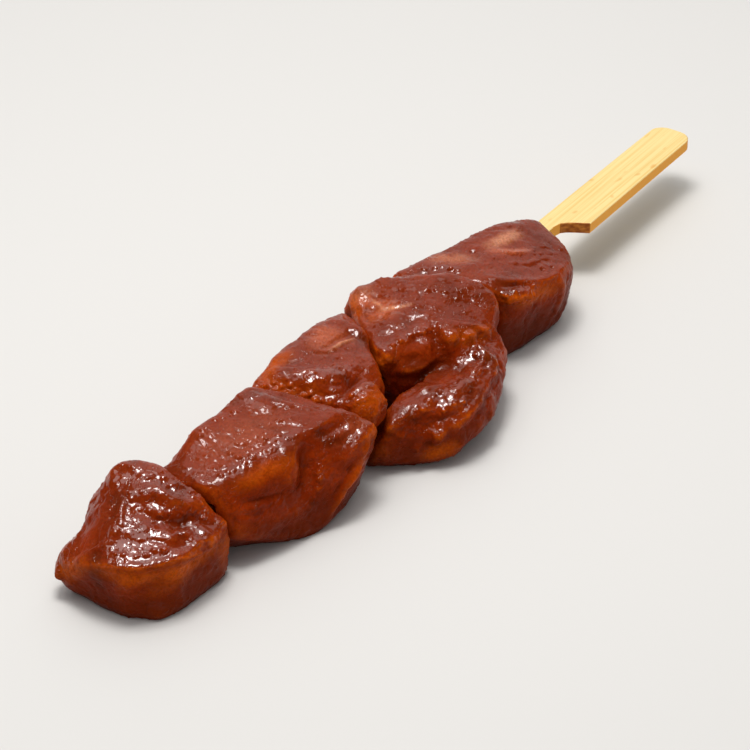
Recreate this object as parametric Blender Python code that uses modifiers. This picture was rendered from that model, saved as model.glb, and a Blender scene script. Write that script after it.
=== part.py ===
"""Pork satay skewer: five marinated chunks of meat threaded on a flat bamboo skewer.

The skewer is a stick with a point at one end, which widens at a slanted shoulder into a flat
paddle for holding. It runs along X, with the point towards -X and the paddle towards +X. The
chunks lie side by side on the stick and rest on the surface z = 0. They are cut blocks with
soft edges: each is the hull of a few corners, and the fourth is a strip folded over, so it has
a flap on top and a fat lobe bulging out beside it.

Sizes are in millimetres, and the meshes are scaled to metres once they are complete.
"""

import math
from typing import NamedTuple

import bmesh
import bpy
from mathutils import Matrix, Vector

MM = 0.001

# The bamboo skewer.
SKEWER_LENGTH = 182.0
PADDLE_LENGTH = 44.0
PADDLE_WIDTH = 9.7
PADDLE_END_WIDTH = 9.1
PADDLE_CORNER_RADIUS = 3.2
PADDLE_CORNER_STEPS = 5
SHOULDER_RUN = 5.6
SHOULDER_HOLLOW = 1.1
SHOULDER_SKEW = 0.5
SHOULDER_STEPS = 6
STICK_WIDTH = 4.0
POINT_LENGTH = 16.0
POINT_WIDTH = 0.6
BAMBOO_THICKNESS = 2.5
BAMBOO_EDGE = 0.3
EASED_ANGLE = 50.0
WELD_DISTANCE = 0.01

# Where the skewer and the meat are drawn, and how far that lies from the part's frame, whose origin is
# the middle of the whole outline on the surface.
PADDLE_END_X = 98.5
STICK_Y = 4.0
STICK_Z = 12.0
FRAME_SHIFT = (-0.7, -0.9, 0.0)

# The meat. A chunk reaches below the surface before it is trimmed, so that its base comes out flat.
BASE_SINK = 1.5
VOXEL = 1.1
SOFTEN_FACTOR = 0.5
SOFTEN_STEPS = 7
SWELL = 0.4
PARTING_GAP = 0.4
STICK_CLEARANCE = 0.3
PLANE_TOLERANCE = 1e-7
MEAT_DETAIL = 0.3
LUMP_SEGMENTS = 20
LUMP_RINGS = 12

# Colours are linear RGB.
BAMBOO_COLOUR = (0.76, 0.56, 0.25)
BAMBOO_ROUGHNESS = 0.55
MEAT_COLOURS = (
    (0.17, 0.027, 0.012),
    (0.20, 0.032, 0.014),
    (0.19, 0.030, 0.014),
    (0.16, 0.026, 0.013),
    (0.18, 0.033, 0.015),
)
MEAT_ROUGHNESS = 0.3


class Lump(NamedTuple):
    """A rounded lump that swells out of a chunk: an ellipsoid."""

    centre: tuple
    radii: tuple


class Chunk(NamedTuple):
    """A cut block of meat: the hull of its corners (x, y, z) and its outline (x, y) on the surface."""

    corners: tuple
    base: tuple
    lumps: tuple = ()


class Parting(NamedTuple):
    """A flat face where two chunks press together: the first lies behind it, the second in front."""

    behind: str
    before: str
    through: tuple
    facing: tuple


CHUNKS = {
    "tip_block": Chunk(
        corners=(
            (-96.5, 22.0, 5.0), (-97.0, 14.0, 11.0), (-97.0, 5.5, 13.0), (-91.5, -1.0, 12.5),
            (-72.5, -2.0, 11.5), (-73.0, 4.0, 17.0), (-75.0, 13.0, 22.0), (-79.0, 19.5, 21.0),
            (-84.5, 22.0, 15.0),
        ),
        base=((-93.5, 20.0), (-95.0, 6.0), (-92.0, 0.0), (-86.0, -2.0), (-71.5, -2.0), (-71.5, 20.0)),
    ),
    "slab": Chunk(
        corners=(
            (-75.0, 5.0, 17.0), (-63.5, -1.5, 18.5), (-45.0, -5.0, 20.0), (-35.0, -10.5, 15.0),
            (-38.0, -7.0, 18.5), (-44.0, 13.5, 22.0), (-62.0, 14.5, 20.0), (-75.0, 15.0, 15.0),
            (-42.0, -11.5, 9.0), (-74.5, -1.0, 10.0),
        ),
        base=(
            (-75.0, 15.0), (-72.0, 11.0), (-62.5, 4.5), (-60.0, 0.0), (-54.0, -8.5), (-40.0, -6.0),
            (-40.0, 15.0),
        ),
    ),
    "crown": Chunk(
        corners=(
            (-44.0, 14.0, 20.0), (-33.5, 16.0, 21.0), (-19.5, 13.5, 21.5), (-10.0, 15.0, 20.0),
            (-38.0, -2.0, 17.0), (-42.0, 3.5, 20.0), (-20.5, 3.5, 19.0), (-14.0, -2.0, 15.0),
        ),
        base=((-44.0, 16.0), (-8.0, 17.0), (-42.0, -4.0), (-14.0, -6.0)),
        lumps=(Lump(centre=(-31.0, -4.0, 14.5), radii=(5.0, 5.0, 4.5)),),
    ),
    "flap": Chunk(
        corners=(
            (-5.5, 19.0, 18.0), (1.0, 16.0, 20.0), (7.5, 6.0, 22.0), (13.0, 0.0, 21.5),
            (13.5, -5.0, 19.0), (12.0, -8.0, 16.5), (0.0, -12.5, 15.5), (-7.0, -6.0, 17.5),
            (-18.0, 1.5, 17.0),
        ),
        base=((-16.0, 17.0), (8.0, 17.0), (14.0, -4.0), (-12.0, -4.0)),
    ),
    "lobe": Chunk(
        corners=(
            (-31.5, -7.0, 4.0), (-29.0, -9.0, 12.0), (-26.0, -12.5, 2.0), (-21.0, -17.5, 3.0),
            (-12.5, -20.5, 6.0), (-18.0, -18.0, 13.5), (-7.0, -19.5, 8.0), (4.0, -15.0, 11.0),
            (8.0, -11.0, 13.5), (-5.0, -14.5, 15.0), (-20.5, -6.0, 13.0), (-7.5, -8.0, 12.5),
        ),
        base=(
            (-22.5, -10.0), (-12.0, -13.5), (-0.5, -12.5), (12.0, -8.0), (-8.0, 0.0), (-30.0, 0.0),
        ),
    ),
    "end_block": Chunk(
        corners=(
            (8.0, 15.5, 18.0), (18.0, 12.0, 19.5), (36.0, 7.0, 19.5), (42.0, 5.0, 18.0),
            (45.0, 2.5, 16.5), (42.0, -6.0, 14.5), (39.0, -9.0, 12.0), (38.0, -8.5, 4.0),
            (14.0, -1.0, 18.5), (19.0, -8.0, 17.0), (31.5, -11.0, 14.5), (13.0, -5.0, 12.0),
            (44.0, 12.0, 5.0),
        ),
        base=((6.0, 17.0), (38.0, 13.0), (42.0, 4.0), (33.5, -7.5), (21.0, -6.0), (12.0, -4.0)),
    ),
}

PIECES = {
    "meat_1": ("tip_block",),
    "meat_2": ("slab",),
    "meat_3": ("crown",),
    "meat_4": ("flap", "lobe"),
    "meat_5": ("end_block",),
}

PARTINGS = (
    Parting("tip_block", "slab", through=(-73.0, 4.0, 12.0), facing=(0.98, 0.17, 0.0)),
    Parting("slab", "crown", through=(-37.5, 2.5, 12.0), facing=(0.90, 0.37, 0.20)),
    Parting("crown", "flap", through=(-11.5, 10.0, 12.0), facing=(0.78, -0.62, 0.0)),
    Parting("lobe", "crown", through=(-30.0, -7.0, 12.0), facing=(-0.30, 0.80, 0.50)),
    Parting("flap", "end_block", through=(11.0, 4.0, 12.0), facing=(0.91, 0.41, 0.0)),
    Parting("lobe", "end_block", through=(11.0, 4.0, 12.0), facing=(0.91, 0.41, 0.0)),
)


def clear_scene():
    """Take every object out of the open file."""
    for old in list(bpy.data.objects):
        bpy.data.objects.remove(old, do_unlink=True)


def new_collection(name):
    """Make a collection under the scene's own."""
    collection = bpy.data.collections.new(name)
    bpy.context.scene.collection.children.link(collection)
    return collection


def new_material(name, colour, roughness):
    """Make a plain non-metal material."""
    material = bpy.data.materials.new(name)
    material.use_nodes = True
    shader = material.node_tree.nodes["Principled BSDF"]
    shader.inputs["Base Color"].default_value = (*colour, 1.0)
    shader.inputs["Roughness"].default_value = roughness
    shader.inputs["Metallic"].default_value = 0.0
    material.diffuse_color = (*colour, 1.0)
    return material


def new_object(name, mesh, collection):
    """Make an object of a mesh in a collection."""
    made = bpy.data.objects.new(name, mesh)
    collection.objects.link(made)
    return made


def settle(holder):
    """Turn an object and its modifiers into one plain mesh object of the same name and place."""
    evaluated = holder.evaluated_get(bpy.context.evaluated_depsgraph_get())
    mesh = bpy.data.meshes.new_from_object(evaluated)
    name = holder.name
    collection = holder.users_collection[0]
    bpy.data.objects.remove(holder, do_unlink=True)
    return new_object(name, mesh, collection)


def to_part_frame(bm):
    """Take a mesh from the drawing, in millimetres, to the part's frame, in metres."""
    bmesh.ops.translate(bm, verts=bm.verts, vec=FRAME_SHIFT)
    bmesh.ops.scale(bm, verts=bm.verts, vec=(MM, MM, MM))


def arc(centre, radius, start_deg, end_deg, steps):
    """Give the points of an arc, both ends included."""
    points = []
    for i in range(steps + 1):
        angle = math.radians(start_deg + (end_deg - start_deg) * i / steps)
        points.append((centre[0] + radius * math.cos(angle), centre[1] + radius * math.sin(angle)))
    return points


def shoulder(inner, outer):
    """Give the points of the slanted cut from the stick's edge to the paddle's, hollow near the stick."""
    points = []
    for i in range(SHOULDER_STEPS + 1):
        share = i / SHOULDER_STEPS
        hollow = SHOULDER_HOLLOW * math.sin(math.pi * share ** SHOULDER_SKEW)
        points.append((
            inner[0] + (outer[0] - inner[0]) * share + hollow,
            inner[1] + (outer[1] - inner[1]) * share + hollow * 0.5,
        ))
    return points


def skewer_outline():
    """Give the skewer's outline seen from above, anticlockwise from the point."""
    point_x = PADDLE_END_X - SKEWER_LENGTH
    shoulder_x = PADDLE_END_X - PADDLE_LENGTH
    top_y = STICK_Y + STICK_WIDTH / 2
    low_y = STICK_Y - STICK_WIDTH / 2
    outer_y = top_y - PADDLE_WIDTH
    end_gap = (PADDLE_WIDTH - PADDLE_END_WIDTH) / 2
    end_low_y = outer_y + end_gap
    end_top_y = top_y - end_gap
    radius = PADDLE_CORNER_RADIUS
    centre_x = PADDLE_END_X - radius
    outline = [(point_x, STICK_Y + POINT_WIDTH / 2), (point_x, STICK_Y - POINT_WIDTH / 2)]
    outline.append((point_x + POINT_LENGTH, low_y))
    outline += shoulder((shoulder_x - SHOULDER_RUN, low_y), (shoulder_x, outer_y))
    outline += arc((centre_x, end_low_y + radius), radius, -90, 0, PADDLE_CORNER_STEPS)
    outline += arc((centre_x, end_top_y - radius), radius, 0, 90, PADDLE_CORNER_STEPS)
    outline.append((shoulder_x, top_y))
    outline.append((point_x + POINT_LENGTH, top_y))
    return outline


def build_skewer(collection):
    """Make the bamboo skewer: its outline, as thick as the strip it is stamped from, with eased edges."""
    outline = skewer_outline()
    curve = bpy.data.curves.new("bamboo_outline", "CURVE")
    curve.dimensions = "2D"
    curve.fill_mode = "BOTH"
    curve.extrude = BAMBOO_THICKNESS / 2
    spline = curve.splines.new("POLY")
    spline.points.add(len(outline) - 1)
    for point, (x, y) in zip(spline.points, outline):
        point.co = (x, y, 0.0, 1.0)
    spline.use_cyclic_u = True
    skewer = settle(new_object("bamboo_skewer", curve, collection))
    bm = bmesh.new()
    bm.from_mesh(skewer.data)
    bmesh.ops.remove_doubles(bm, verts=bm.verts, dist=WELD_DISTANCE)
    bmesh.ops.recalc_face_normals(bm, faces=bm.faces)
    bmesh.ops.translate(bm, verts=bm.verts, vec=(0.0, 0.0, STICK_Z))
    to_part_frame(bm)
    bm.to_mesh(skewer.data)
    bm.free()
    ease = skewer.modifiers.new("eased_edges", "BEVEL")
    ease.width = BAMBOO_EDGE * MM
    ease.segments = 1
    ease.limit_method = "ANGLE"
    ease.angle_limit = math.radians(EASED_ANGLE)
    skewer.data.materials.append(new_material("bamboo", BAMBOO_COLOUR, BAMBOO_ROUGHNESS))
    return skewer


def stick_cutter(collection):
    """Make the cutter for the hole that the stick fills: the stick, grown by the clearance."""
    grown_width = STICK_WIDTH + 2 * STICK_CLEARANCE
    grown_height = BAMBOO_THICKNESS + 2 * STICK_CLEARANCE
    start_x = PADDLE_END_X - SKEWER_LENGTH - STICK_CLEARANCE
    end_x = PADDLE_END_X
    size = Vector((end_x - start_x, grown_width, grown_height))
    centre = Vector(((start_x + end_x) / 2, STICK_Y, STICK_Z))
    bm = bmesh.new()
    bmesh.ops.create_cube(bm, size=1.0)
    bmesh.ops.scale(bm, verts=bm.verts, vec=size)
    bmesh.ops.translate(bm, verts=bm.verts, vec=centre)
    to_part_frame(bm)
    mesh = bpy.data.meshes.new("stick_hole")
    bm.to_mesh(mesh)
    bm.free()
    cutter = new_object("stick_hole", mesh, collection)
    cutter.hide_render = True
    cutter.display_type = "WIRE"
    return cutter


def trim(bm, through, facing):
    """Cut a closed mesh at a plane, drop what lies in front of it and close the cut."""
    everything = bm.verts[:] + bm.edges[:] + bm.faces[:]
    cut = bmesh.ops.bisect_plane(
        bm, geom=everything, dist=PLANE_TOLERANCE, plane_co=through, plane_no=facing, clear_outer=True
    )
    rim = [e for e in cut["geom_cut"] if isinstance(e, bmesh.types.BMEdge)]
    if rim:
        bmesh.ops.contextual_create(bm, geom=rim)


def hull(points):
    """Make the closed hull of a set of points."""
    bm = bmesh.new()
    for point in points:
        bm.verts.new(point)
    made = bmesh.ops.convex_hull(bm, input=bm.verts)
    inside = [v for v in made["geom_interior"] if isinstance(v, bmesh.types.BMVert)]
    bmesh.ops.delete(bm, geom=inside, context="VERTS")
    bmesh.ops.recalc_face_normals(bm, faces=bm.faces)
    return bm


def chunk_mesh(name):
    """Make one chunk, in millimetres, trimmed where its neighbours press on it."""
    chunk = CHUNKS[name]
    outline = [(x, y, -BASE_SINK) for x, y in chunk.base]
    bm = hull([*chunk.corners, *outline])
    for parting in PARTINGS:
        if name not in (parting.behind, parting.before):
            continue
        facing = Vector(parting.facing).normalized()
        if name == parting.before:
            facing = -facing
        through = Vector(parting.through) - facing * (PARTING_GAP / 2 + SWELL)
        trim(bm, through, facing)
    for lump in chunk.lumps:
        place = Matrix.Translation(lump.centre) @ Matrix.Diagonal((*lump.radii, 1.0))
        bmesh.ops.create_uvsphere(
            bm, u_segments=LUMP_SEGMENTS, v_segments=LUMP_RINGS, radius=1.0, matrix=place
        )
    mesh = bpy.data.meshes.new(name)
    bm.to_mesh(mesh)
    bm.free()
    return mesh


def build_meat(name, chunks, colour, cutter, collection):
    """Make one piece of meat: its chunks grown together, softened, rested flat and pierced."""
    bm = bmesh.new()
    for chunk in chunks:
        bm.from_mesh(chunk_mesh(chunk))
    to_part_frame(bm)
    mesh = bpy.data.meshes.new(name)
    bm.to_mesh(mesh)
    bm.free()
    piece = new_object(name, mesh, collection)
    grow = piece.modifiers.new("grown_together", "REMESH")
    grow.mode = "VOXEL"
    grow.voxel_size = VOXEL * MM
    soften = piece.modifiers.new("soft_edges", "SMOOTH")
    soften.factor = SOFTEN_FACTOR
    soften.iterations = SOFTEN_STEPS
    swell = piece.modifiers.new("swell", "DISPLACE")
    swell.strength = SWELL * MM
    swell.mid_level = 0.0
    facets = piece.modifiers.new("facets", "DECIMATE")
    facets.ratio = MEAT_DETAIL
    piece = settle(piece)
    bm = bmesh.new()
    bm.from_mesh(piece.data)
    trim(bm, (0.0, 0.0, 0.0), (0.0, 0.0, -1.0))
    bmesh.ops.triangulate(bm, faces=bm.faces)
    bm.to_mesh(piece.data)
    bm.free()
    pierce = piece.modifiers.new("pierced", "BOOLEAN")
    pierce.operation = "DIFFERENCE"
    pierce.solver = "EXACT"
    pierce.object = cutter
    piece.data.materials.clear()
    piece.data.materials.append(new_material(name, colour, MEAT_ROUGHNESS))
    piece.data.shade_smooth()
    return piece


def main():
    """Build the skewer and the meat on it."""
    clear_scene()
    parts = new_collection("pork_satay_skewer")
    cutters = new_collection("cutters")
    build_skewer(parts)
    cutter = stick_cutter(cutters)
    for (name, chunks), colour in zip(PIECES.items(), MEAT_COLOURS):
        build_meat(name, chunks, colour, cutter, parts)


main()
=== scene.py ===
"""Pork satay skewer: the looks of five marinated chunks of pork on a flat bamboo skewer.

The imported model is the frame: it gives each piece its place and its size. Every chunk starts here as a
copy of its own node, gets a fine skin of even quads, and is shaped by the strokes of a modelling tool,
by drops of glaze and by the relief of cut meat. The bamboo keeps its own mesh and gets its finish. A
studio with a pale floor and soft lamps surrounds them.

Lengths in the classes are in millimetres. Meshes and Blender's own settings are in metres.
"""

import logging
import math
from dataclasses import dataclass
from enum import Enum

import bmesh
import bpy
import numpy as np
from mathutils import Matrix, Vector
from mathutils import noise
from mathutils.bvhtree import BVHTree


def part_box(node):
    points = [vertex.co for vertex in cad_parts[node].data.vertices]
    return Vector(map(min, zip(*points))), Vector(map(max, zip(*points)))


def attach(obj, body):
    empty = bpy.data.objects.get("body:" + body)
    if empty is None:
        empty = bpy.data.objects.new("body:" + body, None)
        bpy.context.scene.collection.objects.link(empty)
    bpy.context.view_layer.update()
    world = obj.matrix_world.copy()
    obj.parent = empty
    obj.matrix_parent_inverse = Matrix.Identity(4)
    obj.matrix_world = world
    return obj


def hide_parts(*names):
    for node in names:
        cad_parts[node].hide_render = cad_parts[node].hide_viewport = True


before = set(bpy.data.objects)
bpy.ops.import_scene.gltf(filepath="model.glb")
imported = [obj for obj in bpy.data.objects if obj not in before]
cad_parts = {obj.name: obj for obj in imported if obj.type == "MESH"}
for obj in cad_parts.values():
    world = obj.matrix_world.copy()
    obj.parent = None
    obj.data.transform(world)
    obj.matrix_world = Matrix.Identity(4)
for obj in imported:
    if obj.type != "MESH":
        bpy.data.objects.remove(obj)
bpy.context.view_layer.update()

log = logging.getLogger("pork_satay_skewer")

MM = 0.001
BODY = "root"
WELD = 1e-6
FAR = 300.0
CREASE_POWER = 1.7
PLATEAU_RIM = 0.45
VEIN_POWER = 10
NOISE_MIDDLE = 0.5

Point = tuple[float, float]
Place = tuple[float, ...]
Colour = tuple[float, float, float]


class Side(Enum):
    """The side of a chunk that a mark is drawn on. Its two coordinates are named in the value."""

    TOP = "xy"
    FRONT = "xz"
    BACK = "xz_behind"

    def ray(self, spot: Place) -> tuple[Vector, Vector]:
        """Find the line that meets the side squarely at a spot.

        Args:
            spot: the two coordinates on the side, in millimetres.

        Returns:
            A point well outside the chunk and the direction inwards, in millimetres.
        """
        a, b = spot
        rays = {
            Side.TOP: ((a, b, FAR), (0.0, 0.0, -1.0)),
            Side.FRONT: ((a, -FAR, b), (0.0, 1.0, 0.0)),
            Side.BACK: ((a, FAR, b), (0.0, -1.0, 0.0)),
        }
        start, inwards = rays[self]
        return Vector(start), Vector(inwards)


class Form(Enum):
    """How a stroke fades from its middle line to its edge."""

    ROUND = "round"
    CREASE = "crease"
    PLATEAU = "plateau"

    def profile(self, gap: np.ndarray) -> np.ndarray:
        """Give the stroke's strength across its width.

        Args:
            gap: distances from the middle line, as shares of the reach.

        Returns:
            Strengths from 0, at the edge and beyond, to 1.
        """
        inner = np.clip(1.0 - gap, 0.0, 1.0)
        if self is Form.CREASE:
            return inner**CREASE_POWER
        if self is Form.PLATEAU:
            return smooth_step(inner / PLATEAU_RIM)
        return (1.0 - np.clip(gap, 0.0, 1.0) ** 2) ** 2


class Tint(Enum):
    """What a stain brings: a colour, some of them painted glow or painted shade, or more of the wet coat. The
    value names its mesh attribute.
    """

    FAT = "tint_fat"
    PINK = "tint_pink"
    # amber stains: mostly painted glow of light on thin edges and upper sides, partly the meat's own orange
    AMBER_GLOW = "tint_amber"
    # dark stains: mostly painted shade low on the sides and in recesses under the flaps, partly the meat's
    # darker tone
    DARK = "tint_dark"
    WET = "wet"


class Layer(Enum):
    """A layer of noise on a chunk: the width of its lumps, in millimetres, and its shift in the noise."""

    BROAD = (8.0, 0.0)
    LUMPS = (3.4, 11.0)
    STRANDS = (1.5, 5.0)
    VEINS = (2.8, 7.0)
    ROUGH = (5.5, 3.0)
    FLAKES = (1.7, 6.0)
    GRAINS = (0.8, 2.0)
    BEADS = (0.75, 9.0)
    SWELLS = (10.0, 13.0)
    FOOT = (7.0, 17.0)
    DROPS_X = (0.9, 21.0)
    DROPS_Y = (0.9, 33.0)
    DROPS_Z = (0.9, 47.0)
    DROPS_SIZE = (0.9, 59.0)

    def read(self, points: np.ndarray, seed: float) -> np.ndarray:
        """Read the layer.

        Args:
            points: places, in millimetres.
            seed: the chunk's own shift in the noise.

        Returns:
            A value from about -1 to 1 for each place.
        """
        size, shift = self.value
        places = (points / size + (seed + shift)).tolist()
        return np.array([noise.noise(place) for place in places])


@dataclass(frozen=True)
class Span:
    """A range of values, and what its two ends become. It is eased, and held at both ends."""

    low: float
    high: float
    at_low: float = 0.0
    at_high: float = 1.0

    def shares(self, values: np.ndarray) -> np.ndarray:
        """Give how far along the range each value is, from 0 to 1."""
        return smooth_step((values - self.low) / (self.high - self.low))


@dataclass(frozen=True)
class Pattern:
    """A pattern of noise in a material: the size of its lumps and its turn about Z, in degrees."""

    size: Place
    detail: float = 3.0
    roughness: float = 0.5
    turn: float = 0.0


@dataclass(frozen=True)
class Stroke:
    """A pull or push of the modelling tool along a route over a chunk."""

    route: tuple[Place, ...]
    reach: float
    rise: float
    form: Form = Form.ROUND
    side: Side = Side.TOP


@dataclass(frozen=True)
class Stain:
    """A patch of another colour, of painted glow or of painted shade, or of more or less glaze, along a route
    over a chunk.
    """

    route: tuple[Place, ...]
    reach: float
    tint: Tint
    strength: float = 1.0
    side: Side = Side.TOP


@dataclass(frozen=True)
class BeadRow:
    """Drops of glaze that stand along a route over a chunk."""

    route: tuple[Place, ...]
    spacing: float = 1.4
    size: float = 0.8
    height: float = 0.38
    stray: float = 0.9


def smooth_step(share: np.ndarray) -> np.ndarray:
    """Ease shares from 0 to 1, flat at both ends."""
    held = np.clip(share, 0.0, 1.0)
    return held * held * (3.0 - 2.0 * held)


class FineSkin:
    """A closed surface as a fine even mesh of quads, worked in millimetres."""

    def __init__(self, node: bpy.types.Object, voxel: float) -> None:
        """Take a fine copy of a node.

        Args:
            node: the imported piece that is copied.
            voxel: the width of a quad, in millimetres.
        """
        self.mesh = self._remeshed(node, voxel)
        count = len(self.mesh.vertices)
        flat = np.empty(count * 3, np.float32)
        self.mesh.vertices.foreach_get("co", flat)
        self.points = flat.reshape(-1, 3).astype(float) / MM
        corners = np.empty(len(self.mesh.loops), np.int32)
        self.mesh.loops.foreach_get("vertex_index", corners)
        self.quads = corners.reshape(-1, 4)
        ends = np.empty(len(self.mesh.edges) * 2, np.int32)
        self.mesh.edges.foreach_get("vertices", ends)
        self.ends = ends.reshape(-1, 2)
        self.degree = np.bincount(self.ends.ravel(), minlength=count)[:, None]

    def _remeshed(self, node: bpy.types.Object, voxel: float) -> bpy.types.Mesh:
        """Cover a copy of a node with even quads.

        Args:
            node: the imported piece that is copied.
            voxel: the width of a quad, in millimetres.

        Returns:
            The new mesh, in metres.
        """
        bm = bmesh.new()
        bm.from_mesh(node.data)
        bmesh.ops.remove_doubles(bm, verts=bm.verts, dist=WELD)
        blank = bpy.data.meshes.new("blank")
        bm.to_mesh(blank)
        bm.free()
        holder = bpy.data.objects.new("blank", blank)
        bpy.context.scene.collection.objects.link(holder)
        even = holder.modifiers.new("even_quads", "REMESH")
        even.mode = "VOXEL"
        even.voxel_size = voxel * MM
        evaluated = holder.evaluated_get(bpy.context.evaluated_depsgraph_get())
        made = bpy.data.meshes.new_from_object(evaluated)
        bpy.data.objects.remove(holder, do_unlink=True)
        bpy.data.meshes.remove(blank)
        return made

    def around(self, values: np.ndarray) -> np.ndarray:
        """Give each vertex the sum of its neighbours' values.

        Args:
            values: one number for each vertex.

        Returns:
            The sums, one for each vertex.
        """
        near, far = self.ends.T
        count = len(self.points)
        return np.bincount(near, values[far], count) + np.bincount(far, values[near], count)

    def relaxed(self, points: np.ndarray, rounds: int) -> np.ndarray:
        """Smooth places over the surface.

        Args:
            points: one place for each vertex.
            rounds: how often each vertex moves to the middle of its neighbours.

        Returns:
            The smoothed places.
        """
        for _ in range(rounds):
            points = np.stack([self.around(points[:, axis]) for axis in range(3)], axis=1) / self.degree
        return points

    def normals(self, points: np.ndarray) -> np.ndarray:
        """Find the outward directions at the vertices.

        Args:
            points: one place for each vertex.

        Returns:
            Unit vectors, one for each vertex.
        """
        a, b, c, d = (points[self.quads[:, corner]] for corner in range(4))
        facing = np.cross(c - a, d - b)
        total = np.zeros_like(points)
        for corner in range(4):
            for axis in range(3):
                total[:, axis] += np.bincount(self.quads[:, corner], facing[:, axis], len(points))
        return total / np.maximum(np.linalg.norm(total, axis=1, keepdims=True), 1e-12)

    def store(self, name: str, values: np.ndarray) -> None:
        """Keep one number for each vertex as a mesh attribute."""
        layer = self.mesh.attributes.new(name, "FLOAT", "POINT")
        layer.data.foreach_set("value", np.clip(values, 0.0, 1.0).astype(np.float32))

    def finished(self, name: str) -> bpy.types.Object:
        """Make the object.

        Args:
            name: the name of the piece.

        Returns:
            The new object, smooth shaded, at the origin.
        """
        self.mesh.vertices.foreach_set("co", (self.points * MM).astype(np.float32).ravel())
        self.mesh.shade_smooth()
        self.mesh.update()
        self.mesh.name = name
        made = bpy.data.objects.new(name, self.mesh)
        bpy.context.scene.collection.objects.link(made)
        return made


class Probe:
    """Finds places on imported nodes."""

    def __init__(self, node: bpy.types.Object) -> None:
        """Read a node's surface.

        Args:
            node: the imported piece, in metres.
        """
        self.name = node.name
        places = [vertex.co.copy() for vertex in node.data.vertices]
        self.tree = BVHTree.FromPolygons(places, [tuple(face.vertices) for face in node.data.polygons])

    def _meet(self, spot: Place, side: Side) -> np.ndarray | None:
        """Find the place on the surface for one spot of a route.

        Args:
            spot: its two or three coordinates, in millimetres.
            side: the side that two coordinates are read on.

        Returns:
            The place, in millimetres, or None where the line from the side misses the surface.
        """
        if len(spot) == 3:
            place = self.tree.find_nearest(Vector(spot) * MM)[0]
        else:
            start, inwards = side.ray(spot)
            place = self.tree.ray_cast(start * MM, inwards)[0]
        return None if place is None else np.array(place) / MM

    def lay(self, route: tuple[Place, ...], side: Side = Side.TOP, step: float = 0.5) -> np.ndarray:
        """Lay a route on the surface.

        Args:
            route: its points, in millimetres. One with three coordinates goes to the nearest place on
                the surface, and one with two is seen squarely from the side.
            side: the side that points with two coordinates are drawn on.
            step: the distance between the places, in millimetres.

        Returns:
            Places on the surface along the route, in millimetres.
        """
        spots = [route[0]]
        for start, end in zip(route, route[1:]):
            pieces = max(1, round(math.dist(start, end) / step))
            for index in range(1, pieces + 1):
                spots.append(tuple(a + (b - a) * index / pieces for a, b in zip(start, end)))
        met = (self._meet(spot, side) for spot in spots)
        found = [place for place in met if place is not None]
        if not found:
            raise ValueError(f"no place on {self.name} for the route {route} from its side {side.name}")
        return np.array(found)

    def gaps(self, points: np.ndarray, limit: float) -> np.ndarray:
        """Measure how far places are from the node.

        Args:
            points: the places, in millimetres.
            limit: distances past this are given as this, in millimetres.

        Returns:
            The distances, in millimetres.
        """
        low, high = (np.array(corner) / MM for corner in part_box(self.name))
        close = np.all((points > low - limit) & (points < high + limit), axis=1)
        found = np.full(len(points), limit)
        for index in np.flatnonzero(close):
            distance = self.tree.find_nearest(Vector(points[index]) * MM, limit * MM)[3]
            if distance is not None:
                found[index] = distance / MM
        return found


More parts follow.
